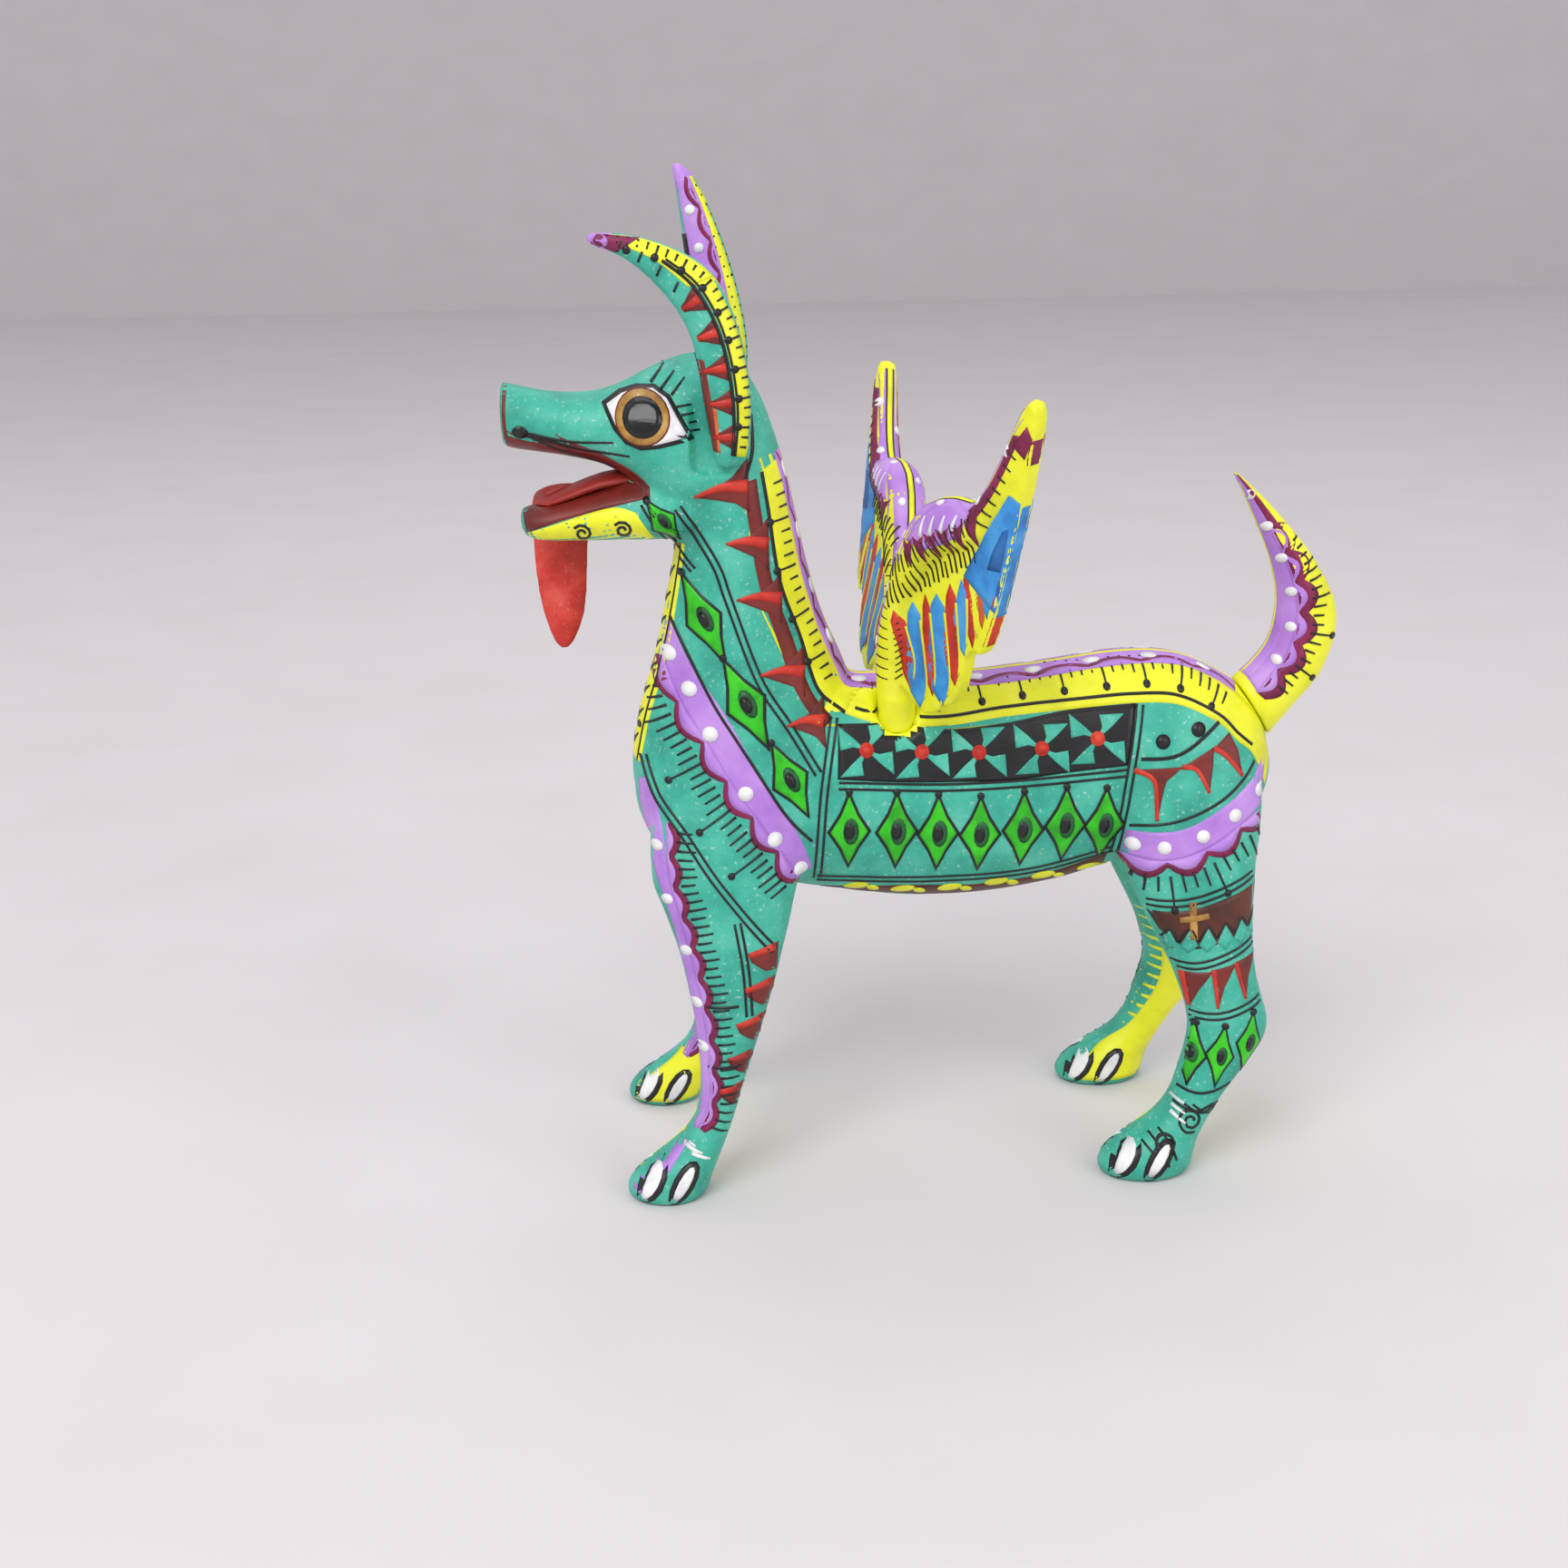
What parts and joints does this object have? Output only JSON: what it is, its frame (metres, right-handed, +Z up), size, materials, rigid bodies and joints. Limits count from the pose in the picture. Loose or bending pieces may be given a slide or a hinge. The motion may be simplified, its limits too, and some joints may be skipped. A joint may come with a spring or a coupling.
{
  "type": "alebrije figure",
  "caption": "Free-standing carved and painted wooden dog with wings, horn-like ears, raised tail and hanging tongue; wings, ears and tail plug in.",
  "frame": {"origin": "centre of the figure's box at the level of the paw soles", "axes": "+Z up, +X from the nose towards the tail, +Y towards the figure's right side"},
  "size_m": [0.1414, 0.0867, 0.1718],
  "materials": {
    "trunk_paint": "hand-painted matte acrylic over sanded wood",
    "leg_paint": "hand-painted matte acrylic over sanded wood",
    "ear_paint": "hand-painted matte acrylic over sanded wood",
    "wing_paint": "hand-painted matte acrylic over sanded wood",
    "tail_paint": "hand-painted matte acrylic over sanded wood",
    "tongue_paint": "red acrylic over sanded wood",
    "bare_wood": "unpainted turned dowel"
  },
  "bodies": {
    "trunk": {"trunk": "trunk_paint", "tongue": "tongue_paint", "tongue_peg": "bare_wood", "left_front_leg": "leg_paint", "left_front_dowel": "bare_wood", "left_hind_leg": "leg_paint", "left_hind_dowel": "bare_wood", "right_front_leg": "leg_paint", "right_front_dowel": "bare_wood", "right_hind_leg": "leg_paint", "right_hind_dowel": "bare_wood"},
    "left_wing_peg": {"left_wing_peg": "bare_wood"},
    "right_wing_peg": {"right_wing_peg": "bare_wood"},
    "left_wing": {"left_wing": "wing_paint"},
    "right_wing": {"right_wing": "wing_paint"},
    "left_ear": {"left_ear": "ear_paint", "left_ear_peg": "bare_wood"},
    "right_ear": {"right_ear": "ear_paint", "right_ear_peg": "bare_wood"},
    "tail": {"tail": "tail_paint", "tail_peg": "bare_wood"}
  },
  "joints": [
    {"name": "left_wing_pull", "type": "slide", "parent": "trunk", "child": "left_wing_peg", "axis": [0, -0.1736, 0.9848], "range_m": [0, 0.006]},
    {"name": "left_wing_twist", "type": "hinge", "parent": "left_wing_peg", "child": "left_wing", "pos_m": [-0.0068, -0.0105, 0.083], "axis": [0, -0.1736, 0.9848], "range_deg": [-20, 20]},
    {"name": "left_ear_pull", "type": "slide", "parent": "trunk", "child": "left_ear", "axis": [0, -1, 0], "range_m": [0, 0.004]},
    {"name": "right_wing_pull", "type": "slide", "parent": "trunk", "child": "right_wing_peg", "axis": [0, 0.1736, 0.9848], "range_m": [0, 0.006]},
    {"name": "right_wing_twist", "type": "hinge", "parent": "right_wing_peg", "child": "right_wing", "pos_m": [-0.0068, 0.0035, 0.083], "axis": [0, 0.1736, 0.9848], "range_deg": [-20, 20]},
    {"name": "right_ear_pull", "type": "slide", "parent": "trunk", "child": "right_ear", "axis": [0, 1, 0], "range_m": [0, 0.004]},
    {"name": "tail_pull", "type": "slide", "parent": "trunk", "child": "tail", "axis": [0.848, 0, 0.5299], "range_m": [0, 0.006]}
  ]
}
